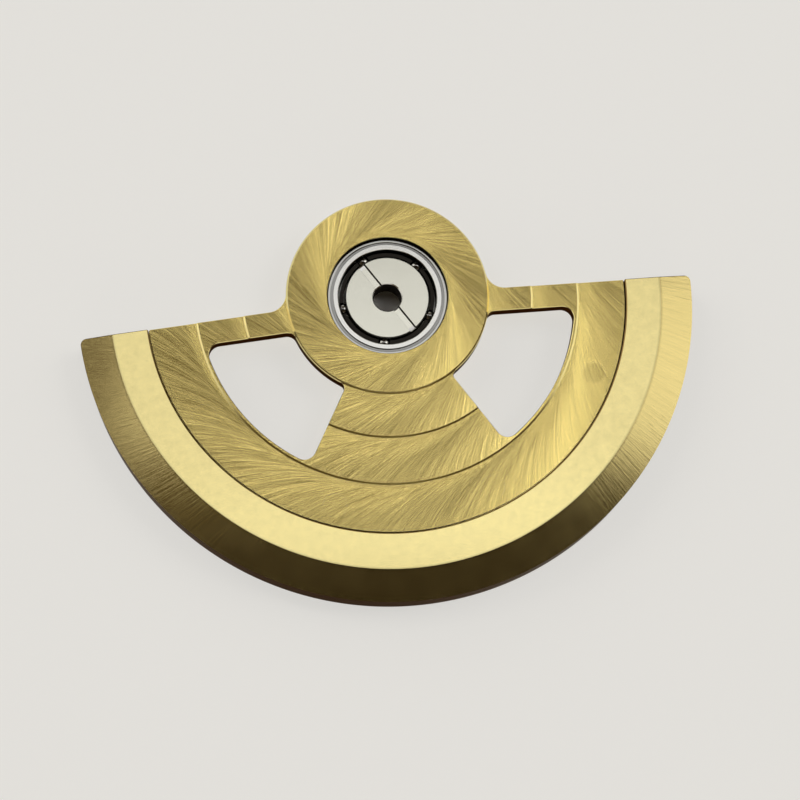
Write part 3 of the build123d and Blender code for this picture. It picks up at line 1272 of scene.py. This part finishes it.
@dataclass
class HeavyRim:
    """The heavy half ring with its flat top, wide shallow bevel and outer wall, and its rivets."""

    plan: WeightPlan
    turned: TurnedPieces
    bevel_width: float = 1.35
    bevel_fall: float = 0.10
    bore_gap: float = 0.01
    bore_chamfer: float = 0.04
    foot_chamfer: float = 0.08
    ledge_height: float = 0.85
    ledge_inner_radius: float = 8.40
    corner_radius: float = 0.28
    end_chamfer: float = 0.03
    bevel_steps: int = 14
    rings: int = 361
    rivet_head_radius: float = 0.72
    rivet_head_height: float = 0.22
    rivet_gap: float = 0.002
    rivet_sides: int = 64
    rivet_reach: float = 1.0
    crescent_top: float = 1.30
    # The crease ring is painted shade where the flat meets the bevel.
    crease_inner: float = 0.05
    crease_outer: float = 0.06
    crease_blur: float = 0.06
    crease_painted_shade: float = 0.24
    # Painted light: below 0, this makes the rim's inner wall by the seam lighter.
    seam_painted_light: float = -1.4
    wall_shares: tuple[float, ...] = (0.5, 0.97)

    def build(self) -> list[bpy.types.Object]:
        """The rim and the rivets, riding on the weight."""
        bottom = level("heavy_rim", 0)
        plain = bpy.data.materials.new("seat")
        seats = self._rivets("rivet_seats", self.rivet_gap, bottom - self.rivet_reach, plain)
        section, on_wall = self._section()
        inset = inset_directions(section)
        holder = section_object("rim.section", section, True, on_wall=on_wall,
                                inset_radius=inset[:, 0], inset_height=inset[:, 1])
        values = {
            "Section": holder, "Seats": seats, "Rings": self.rings,
            "Outer radius": self.plan.rotor_radius * MM,
            "Middle angle": math.radians(self.plan.middle_angle),
            "Half angle": math.radians(self.plan.half_angle),
            "Corner radius": self.corner_radius * MM, "Bevel slope": self._bevel_slope(),
            "End chamfer": self.end_chamfer * MM, **self._finishes(),
        }
        rim = SweptRim().run("weight_rim", values, SHARP_ANGLE)
        crease_between_finishes(rim.data)
        for helper in (holder, seats):
            bpy.data.objects.remove(helper)
        edges = (self.plan.outer_step_radius, self.plan.plate_radius)
        mark = self.plan.rivet_places()[-1]
        finish = BandBrushing("rivet ends", GILT_PLATE, band_edges=edges, mark_place=mark).make()
        rivets = self._rivets("rivets", 0.0, bottom, finish)
        names = [f"rim_rivet_{number}" for number in range(1, self.plan.rivet_count + 1)]
        return [
            settled(rim, Body.WEIGHT, ["heavy_rim"]),
            settled(rivets, Body.WEIGHT, names),
        ]

    def _finishes(self) -> dict[str, bpy.types.Material]:
        """The rim's materials by the names of the tree's inputs."""
        flat_outer = self.plan.rotor_radius - self.bevel_width
        # Painted shade along the crease where the flat meets the bevel, on both of them.
        crease = DarkRing(flat_outer - self.crease_inner, flat_outer + self.crease_outer, self.crease_painted_shade,
                          self.crease_blur)
        # Painted light: the seam ring's darkness below 0 makes the rim's inner wall lighter than its other
        # walls.
        bore = self.plan.plate_radius
        seam = DarkRing(bore - self.bore_gap, bore + self.bore_chamfer, self.seam_painted_light)
        return {
            "Flat finish": FineGrain("rim flat", GILT_RIM, patch_pitch=0.38, patch_shade=0.34, roughness=0.15,
                                     painted_light_shade_rings=(crease,)).make(),
            "Bevel finish": CrossBrushing("rim bevel", GILT_BEVEL, painted_light_shade_rings=(crease,)).make(),
            # Painted shade: the rim walls are near-black brown with a dark edge tint.
            "Wall finish": TurnedMetal("rim walls", GILT_WALL_PAINTED_SHADE, roughness=0.30, edge_tint=EDGE_TINT_PAINTED_SHADE,
                                       painted_light_shade_rings=(seam,)).make(),
            "Foot finish": TurnedMetal("rim foot", GILT_HIDDEN, roughness=0.25).make(),
        }

    def _bevel_slope(self) -> float:
        """How much the bevel rises for each step inwards."""
        return self.bevel_fall / self.bevel_width

    def _section(self) -> tuple[list[Point], list[float]]:
        """The rim's section.

        Returns:
            Its (radius, height) points, and for each 1 where it lies on the outer wall below the bevel.
        """
        bottom, top = level("heavy_rim", 0), level("heavy_rim", 1)
        outer = self.plan.rotor_radius
        wall_top = top - self.bevel_fall
        flat_outer = outer - self.bevel_width
        bore = self.plan.plate_radius + self.bore_gap
        ledge = bottom + self.ledge_height
        lower = [(outer - self.foot_chamfer, bottom), (outer, bottom + self.foot_chamfer)]
        lower += [(outer, bottom + self.foot_chamfer + (wall_top - bottom - self.foot_chamfer) * share)
                  for share in self.wall_shares]
        slope = self._bevel_slope()
        bevel = [(outer - self.bevel_width * index / self.bevel_steps,
                  wall_top + slope * self.bevel_width * index / self.bevel_steps)
                 for index in range(self.bevel_steps)]
        inner = [(flat_outer, top), (bore + self.bore_chamfer, top), (bore, top - self.bore_chamfer),
                 (bore, ledge), (self.ledge_inner_radius, ledge), (self.ledge_inner_radius, bottom)]
        return lower + bevel + inner, [1.0] * len(lower) + [0.0] * (len(bevel + inner))

    def _rivets(self, name: str, growth: float, bottom: float,
                finish: bpy.types.Material) -> bpy.types.Object:
        """The four rivets, or their seats.

        Args:
            name: The object's name.
            growth: What their radii grow by.
            bottom: Height of their lower ends.
            finish: The material.

        Returns:
            The object.
        """
        shank = self.plan.rivet_shank_radius + growth
        head = self.rivet_head_radius + growth
        seat = level("heavy_rim", 0)
        profile = [(0.0, bottom), (head, bottom), (head, seat), (shank, seat + self.rivet_head_height),
                   (shank, self.crescent_top), (0.0, self.crescent_top)]
        if bottom == seat:
            profile.pop(1)
        return self.turned.turn(name, profile, finish, self.rivet_sides, self.plan.rivet_count,
                                self.plan.rivet_circle_radius, self.plan.first_rivet_angle,
                                self.plan.rivet_step, closed=False)


@dataclass
class DriveGear:
    """The toothed ring under the hub."""

    plan: WeightPlan
    teeth: int = 50
    module: float = 0.12
    root_share: float = 0.62
    tip_share: float = 0.28
    dedendum_share: float = 1.25

    def build(self) -> bpy.types.Object:
        """The gear, riding on the weight."""
        pitch_radius = self.module * self.teeth / 2
        bottom, top = level("drive_gear", 0), level("drive_gear", 1)
        values = {
            "Teeth": self.teeth, "Root radius": (pitch_radius - self.dedendum_share * self.module) * MM,
            "Tip radius": (pitch_radius + self.module) * MM, "Bore radius": self.plan.hub_bore_radius * MM,
            "Root share": self.root_share, "Tip share": self.tip_share, "Bottom": bottom * MM,
            "Thickness": (top - bottom) * MM,
            "Finish": TurnedMetal("gear metal", GILT_HIDDEN, roughness=0.3).make(),
        }
        gear = ToothedRing().run("winding_gear", values)
        return settled(gear, Body.WEIGHT, ["drive_gear"])


@dataclass
class BallBearing:
    """The bearing: a stepped outer race, a two-part inner race with a slotted disc, a cage and five balls."""

    turned: TurnedPieces
    ball_count: int = 5
    ball_radius: float = 0.28
    ball_circle_radius: float = 1.935
    ball_height: float = 0.74
    ball_start_angle: float = 43.0
    track_slack: float = 0.03
    track_relief: float = 0.05
    land_gap: float = 0.31
    inner_bore_radius: float = 0.60
    inner_spigot_radius: float = 1.15
    inner_edge_chamfer: float = 0.04
    seat_gap: float = 0.01
    slot_width: float = 0.32
    slot_depth: float = 0.15
    slot_angle: float = -58.7
    slot_wall_run: float = 0.04
    outer_wall: float = 0.45
    outer_land_width: float = 0.21
    outer_lip_width: float = 0.12
    outer_step_depth: float = 0.08
    outer_chamfer: float = 0.03
    flange_width: float = 0.21
    flange_thickness: float = 0.08
    wall_run: float = 0.004
    sides: int = 240
    bore_sides: int = 96
    guide_sides: int = 180
    ball_sides: int = 48
    ball_step: float = 7.5
    race_sharp_angle: float = 20.0
    ball_sharp_angle: float = 60.0
    gap_overlap: float = 0.01
    gap_shadow: float = 0.95
    step_shadow: float = 0.6
    lip_shadow_width: float = 0.2
    lip_shadow: float = 0.3

    def build(self) -> list[bpy.types.Object]:
        """The bearing's races and balls, each riding on a body; the CAD cage only takes the near-black steel.
        """
        slot_floor = level("inner_race_upper", 1) - self.slot_depth
        # Painted light: the slot's floor is a little paler than the disc's face.
        satin = FineGrain("satin steel", STEEL_PALE, patch_shade=0.05, roughness=0.20,
                          painted_light_below=slot_floor + self.slot_depth / 2).make()
        bright = TurnedMetal("bright steel", STEEL_BRIGHT, roughness=0.16, painted_light_shade_rings=self._shadows()).make()
        edge = TurnedMetal("disc edges", STEEL_BRIGHT, roughness=0.2).make()
        # Painted shade: the cage and the disc's walls are near black, standing for the shade in the ball gap,
        # the bore and the slot.
        dark = FineGrain("steel painted dark as shade", STEEL_PAINTED_SHADE, patch_shade=0.5, roughness=0.36).make()
        outer = self._race("outer_ring", self._outer_section(), bright)
        lower = self._race("inner_ring_below", self._lower_section(), satin)
        disc = self._disc(satin, edge, dark, satin)
        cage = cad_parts["ball_cage"]
        cage.data.materials.clear()
        cage.data.materials.append(dark)
        return [
            settled(outer, Body.WEIGHT, ["bearing_outer_race"]),
            settled(disc, Body.INNER_RACE, ["inner_race_upper"]),
            settled(lower, Body.INNER_RACE, ["inner_race_lower"]),
            *self._balls(),
        ]

    def _shadows(self) -> tuple[DarkRing, ...]:
        """Dark rings in the ball gap, along the outer race's step and beside its lip."""
        land = self.ball_circle_radius + self.land_gap / 2
        step = land + self.outer_land_width
        lip = land + self.outer_wall - self.outer_lip_width
        return (DarkRing(0.0, land + self.gap_overlap, self.gap_shadow),
                DarkRing(step, lip, self.step_shadow),
                DarkRing(lip, lip + self.lip_shadow_width, self.lip_shadow))

    def _race(self, name: str, section: Sequence[Point], finish: bpy.types.Material) -> bpy.types.Object:
        """A turned race about the axis."""
        return self.turned.turn(name, section, finish, self.sides, sharp_angle=self.race_sharp_angle)

    def _balls(self) -> list[bpy.types.Object]:
        """The balls, each riding on its own body."""
        # Painted shade: the balls are coloured darker than their steel, for the shade of the gap they sit in.
        polished = TurnedMetal("ball steel", STEEL_BALL_PAINTED_SHADE, roughness=0.1, pattern_shade=0.04).make()
        balls = []
        for number in range(1, self.ball_count + 1):
            angle = self.ball_start_angle + (number - 1) * 360.0 / self.ball_count
            ball = self.turned.turn(f"steel_ball_{number}", self._ball_section(), polished, self.ball_sides,
                                    circle_radius=self.ball_circle_radius, first_angle=angle, closed=False,
                                    sharp_angle=self.ball_sharp_angle)
            balls.append(settled(ball, f"ball_{number}", [f"bearing_ball_{number}"]))
        return balls

    def _track(self, side: float) -> list[Point]:
        """Half a ball track from its middle up: side 1 is the outer race's, -1 the inner one's.

        Args:
            side: Which race.

        Returns:
            (radius, rise) points.
        """
        depth = self.ball_radius + self.track_relief
        reach = (self.ball_radius + self.track_slack) * math.sqrt(2.0)
        relief = self.ball_circle_radius + side * depth
        land = self.ball_circle_radius + side * self.land_gap / 2
        return [(relief, 0.0), (relief, reach - depth), (land, reach - self.land_gap / 2)]

    def _outer_section(self) -> list[Point]:
        """The outer race's section, upwards along its track and back down outside."""
        bottom, top = level("bearing_outer_race", 0), level("bearing_outer_race", 1)
        rising = self._track(1.0)[1:]
        land = rising[-1][0]
        outside = land + self.outer_wall
        step_start, step_end = land + self.outer_land_width, outside - self.outer_lip_width
        step_floor = top - self.outer_step_depth
        chamfer, flange = self.outer_chamfer, bottom + self.flange_thickness
        return [
            *[(radius, self.ball_height - rise) for radius, rise in rising[::-1]],
            *[(radius, self.ball_height + rise) for radius, rise in rising],
            (land, top - chamfer), (land + chamfer, top),
            (step_start - chamfer / 2, top), (step_start, top - chamfer / 2),
            (step_start, step_floor), (step_end, step_floor),
            (step_end, top - chamfer / 2), (step_end + chamfer / 2, top),
            (outside - chamfer, top), (outside, top - chamfer),
            (outside, flange), (outside + self.flange_width, flange),
            (outside + self.flange_width, bottom), (land, bottom),
        ]

    def _lower_section(self) -> list[Point]:
        """The lower inner race's section."""
        falling = [(radius, self.ball_height - rise) for radius, rise in self._track(-1.0)]
        land, chamfer = falling[-1][0], self.inner_edge_chamfer
        bore = self.inner_spigot_radius + self.seat_gap
        return [(bore, self.ball_height), *falling, (land, chamfer), (land - chamfer, 0.0), (bore, 0.0)]

    def _ball_section(self) -> list[Point]:
        """A half circle from the ball's lowest to its highest point."""
        points = arc((0.0, self.ball_height), self.ball_radius, -90.0, 90.0, self.ball_step)
        return [(0.0, points[0][1]), *points[1:-1], (0.0, points[-1][1])]

    def _disc(self, *finishes: bpy.types.Material) -> bpy.types.Object:
        """The slotted upper half of the inner race.

        Args:
            finishes: The material of each face kind.

        Returns:
            The object.
        """
        _, relief, land_point = self._track(-1.0)
        land, face = land_point[0], level("inner_race_upper", 1)
        top = Profile([(self.inner_bore_radius, face), (land, face)])
        bottom = Profile([
            (self.inner_bore_radius, 0.0), (self.inner_spigot_radius, 0.0),
            (self.inner_spigot_radius + self.wall_run, self.ball_height),
            (relief[0] - self.wall_run, self.ball_height), (relief[0], self.ball_height + relief[1]),
            (land, self.ball_height + land_point[1]),
        ])
        out, left = np.array(polar(1.0, self.slot_angle)), np.array(polar(1.0, self.slot_angle + 90.0))

        def slotted(places: np.ndarray) -> np.ndarray:
            """Heights of the disc's top, with the slot cut across it."""
            beside = np.abs(places @ left) - self.slot_width / 2
            depth = np.clip(-beside / self.slot_wall_run, 0.0, 1.0) * self.slot_depth
            return top(places) - depth

        reach = land * 2
        half = self.slot_width / 2
        lines = [[tuple(out * reach * end + left * side * offset) for end in (-1.0, 1.0)]
                 for side in (-1.0, 1.0) for offset in (half, half - self.slot_wall_run)]
        loops = [circle(ORIGIN, land, self.sides), circle(ORIGIN, self.inner_bore_radius, self.bore_sides)]
        guides = [*bottom.rings(self.guide_sides), *lines]
        solid = PlanSolid(loops, slotted, bottom, guides, self.inner_edge_chamfer)
        disc = solid.build("slotted_disc")
        for finish in finishes:
            disc.data.materials.append(finish)
        return disc


def settled(piece: bpy.types.Object, body: Body | str, nodes: Sequence[str]) -> bpy.types.Object:
    """Puts a finished piece on its body, in place of its CAD nodes.

    Args:
        piece: The piece.
        body: The body that it rides on.
        nodes: The CAD nodes that it stands for.

    Returns:
        The piece.
    """
    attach(piece, body.value if isinstance(body, Body) else body)
    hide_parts(*nodes)
    LOG.info("%s: %d faces, for %s", piece.name, len(piece.data.polygons), ", ".join(nodes))
    return piece


# The studio


def standing(place: Vector, back: Vector, across: Vector) -> Matrix:
    """The matrix that stands a lamp or a camera at a place.

    Args:
        place: The place in millimetres.
        back: The direction that it turns its back to, of length 1.
        across: Its own X direction, square to back and of length 1.

    Returns:
        The matrix.
    """
    turn = Matrix((across, back.cross(across), back)).transposed().to_4x4()
    return Matrix.Translation(place * MM) @ turn


@dataclass(frozen=True)
class SoftBox:
    """A rectangular studio lamp that faces the rotor, in millimetres."""

    name: str
    direction: tuple[float, float, float]
    distance: float
    width: float
    depth: float
    brightness: float
    along: tuple[float, float, float] = (1.0, 0.0, 0.0)

    def place(self) -> None:
        """Puts the lamp into the scene."""
        lamp = bpy.data.lights.new(self.name, "AREA")
        lamp.shape = "RECTANGLE"
        lamp.size, lamp.size_y = self.width * MM, self.depth * MM
        lamp.energy = self.brightness * math.pi * lamp.size * lamp.size_y
        back, along = Vector(self.direction).normalized(), Vector(self.along)
        across = (along - along.dot(back) * back).normalized()
        holder = new_object(self.name, lamp)
        holder.matrix_world = standing(back * self.distance, back, across)


@dataclass
class Studio:
    """A plain pale floor, soft boxes, a dim room and the camera.

    The room's light follows the direction looked in. Each of its edges is a place and a width in X, Y or Z.
    """

    floor_half: float = 1500.0
    floor_colour: Colour = (0.90, 0.89, 0.86)
    floor_shade: float = 0.985
    floor_shade_range: float = 0.03
    floor_pitch: float = 0.8
    floor_layers: Layers = (4.0, 0.6)
    floor_roughness: float = 0.85
    floor_glow: float = 0.68
    # Painted shadow: no floor glow within this radius of the axis.
    painted_shadow_radius: float = 2.0
    room_middle: float = 0.09
    room_back: float = 0.9
    room_sides: float = 1.6
    room_seen: float = 0.85
    room_warm: Colour = (1.0, 0.72, 0.42)
    room_pale: Colour = (1.0, 0.95, 0.85)
    pale_steepness: float = 2.0
    back_edge: Edge = (0.72, 0.16)
    front_edge: Edge = (-0.80, 0.10)
    front_foot: Edge = (0.15, 0.10)
    side_edge: Edge = (0.40, 0.15)
    side_top: Edge = (0.74, 0.12)
    side_slope: float = 0.32
    side_bottom: Edge = (0.12, 0.12)
    right_drop: float = 0.28
    far_edge: Edge = (0.78, 0.12)
    far_bottom: Edge = (-0.45, 0.20)
    far_loss: float = 0.4
    room_dark: float = 0.03
    dark_middle: Point = (0.08, -0.20)
    dark_half: Point = (0.42, 0.29)
    dark_steepness: float = 6.0
    camera_place: tuple[float, float, float] = (-7.649, -23.862, 82.136)
    camera_target: tuple[float, float, float] = (0.0, -4.4, 0.7)
    camera_up: tuple[float, float, float] = (0.0955, 0.9233, 0.372)
    camera_near: float = 1.0
    camera_far: float = 10000.0
    lens: float = 90.0
    sensor: float = 36.0
    boxes: tuple[SoftBox, ...] = field(default_factory=lambda: (
        SoftBox("box_above", (0.13, 0.225, 0.966), 640.0, 425.0, 148.0, 0.87, (1.0, -0.12, 0.0)),
        SoftBox("box_front", (0.06, 0.13, 0.990), 620.0, 180.0, 50.0, 0.48),
        SoftBox("box_top", (-0.24, 0.38, 0.893), 640.0, 150.0, 60.0, 0.8, (1.0, -0.32, 0.0)),
        SoftBox("box_right", (0.60, 0.06, 0.798), 640.0, 230.0, 130.0, 2.6, (1.0, -0.32, 0.0)),
        SoftBox("box_left", (-0.42, 0.46, 0.782), 640.0, 150.0, 90.0, 3.4, (1.0, -0.32, 0.0)),
    ))

    def build(self) -> None:
        """Lays the floor, lights the room and sets up the camera."""
        self._floor()
        self._room()
        self._camera()
        for box in self.boxes:
            box.place()
        bpy.context.scene.view_settings.view_transform = "Standard"

    def _floor(self) -> None:
        """A pale floor under the rim, which can't be seen from below."""
        half, height = self.floor_half * MM, level("heavy_rim", 0) * MM
        mesh = bpy.data.meshes.new("floor")
        corners = [(-half, -half, height), (half, -half, height), (half, half, height), (-half, half, height)]
        mesh.from_pydata(corners, [], [(0, 1, 2, 3)])
        shader = Shader("floor paper")
        patches = shader.cells(self.floor_pitch, self.floor_layers)
        colour = shader.tinted(self.floor_colour, self.floor_shade + (patches - 0.5) * self.floor_shade_range)
        paint = {"Base Color": colour, "Roughness": self.floor_roughness}
        paper = shader.result("ShaderNodeBsdfPrincipled", None, paint)
        glow = shader.result("ShaderNodeEmission", None, {"Color": (*self.floor_colour, 1.0)})
        rays = shader.add("ShaderNodeLightPath")
        kinds = ("Camera", "Glossy", "Transmission")
        seen, glossy, passed = (shader.wire(rays, f"Is {kind} Ray") for kind in kinds)
        seen = seen.math("MAXIMUM", glossy).math("MAXIMUM", passed) * self.floor_glow
        # Painted shadow: the floor's glow is taken out near the axis, so the floor seen through the bore
        # stays dark.
        seen = seen * (shader.radius - self.painted_shadow_radius).clamped()
        paper = shader.result("ShaderNodeMixShader", None, {0: seen, 1: paper, 2: glow})
        clear = shader.result("ShaderNodeBsdfTransparent")
        below = shader.result("ShaderNodeNewGeometry", output="Backfacing")
        both = shader.result("ShaderNodeMixShader", None, {0: below, 1: paper, 2: clear})
        shader.add("ShaderNodeOutputMaterial", None, {"Surface": both})
        mesh.materials.append(shader.material)
        new_object("floor", mesh)

    def _room(self) -> None:
        """The room's light: bright behind and at the sides, dark overhead, pale where the camera sees it."""
        world = bpy.data.worlds.new("room")
        world.use_nodes = True
        bpy.context.scene.world = world
        maker = NodeMaker(world.node_tree)
        maker.tree.nodes.clear()
        direction = maker.result("ShaderNodeTexCoord", output="Generated")
        split = maker.add("ShaderNodeSeparateXYZ", None, {0: direction})
        x, y, z = (maker.wire(split, axis) for axis in "XYZ")
        front = y.falling(*self.front_edge) * z.rising(*self.front_foot)
        back = y.rising(*self.back_edge).math("MAXIMUM", front) * (self.room_back - self.room_middle)
        sides = self._sides(x, y) * (self.room_sides - self.room_middle)
        across = (x - self.dark_middle[0]).math("ABSOLUTE") / self.dark_half[0]
        along = (y - self.dark_middle[1]).math("ABSOLUTE") / self.dark_half[1]
        clear = ((across.math("MAXIMUM", along) - 1.0) * self.dark_steepness + 0.5).clamped()
        glow = back.math("MAXIMUM", sides) + self.room_middle
        glow = self.room_dark + clear * (glow - self.room_dark)
        seen = maker.result("ShaderNodeLightPath", output="Is Camera Ray")
        strength = glow * (1.0 - seen) + seen * self.room_seen
        pale = ((glow - self.room_middle) * self.pale_steepness).clamped().math("MAXIMUM", seen)
        colour = maker.mixed(pale, self.room_warm, self.room_pale)
        light = maker.result("ShaderNodeBackground", None, {"Color": colour, "Strength": strength})
        maker.add("ShaderNodeOutputWorld", None, {"Surface": light})

    def _sides(self, x: Wire, y: Wire) -> Wire:
        """1 where the room's sides are bright: high up only, but down to the floor far out."""
        outwards = x.math("ABSOLUTE")
        far = outwards.rising(*self.far_edge)
        near = (y + (x > 0.0) * self.right_drop).rising(*self.side_bottom)
        sides = outwards.rising(*self.side_edge) * (x * self.side_slope + y).falling(*self.side_top)
        sides = sides * near.math("MAXIMUM", far * y.rising(*self.far_bottom))
        return sides * (1.0 - far * self.far_loss)

    def _camera(self) -> None:
        """The camera at the photograph's viewing angle."""
        camera = bpy.data.cameras.new("camera")
        camera.lens, camera.sensor_width = self.lens, self.sensor
        camera.clip_start, camera.clip_end = self.camera_near * MM, self.camera_far * MM
        place, target = Vector(self.camera_place), Vector(self.camera_target)
        back = (place - target).normalized()
        across = Vector(self.camera_up).cross(back).normalized()
        holder = new_object("camera", camera)
        holder.matrix_world = standing(place, back, across)
        bpy.context.scene.camera = holder


def main() -> None:
    """Builds the rotor and the studio in order."""
    logging.basicConfig(level=logging.INFO, format="%(name)s %(message)s")
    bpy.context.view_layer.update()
    plan = WeightPlan()
    turned = TurnedPieces()
    Studio().build()
    pieces = [CarrierPlate(plan).build(), *HeavyRim(plan, turned).build(), DriveGear(plan).build(),
              *BallBearing(turned).build()]
    LOG.info("%d pieces built", len(pieces))


if __name__ == "__main__":
    main()
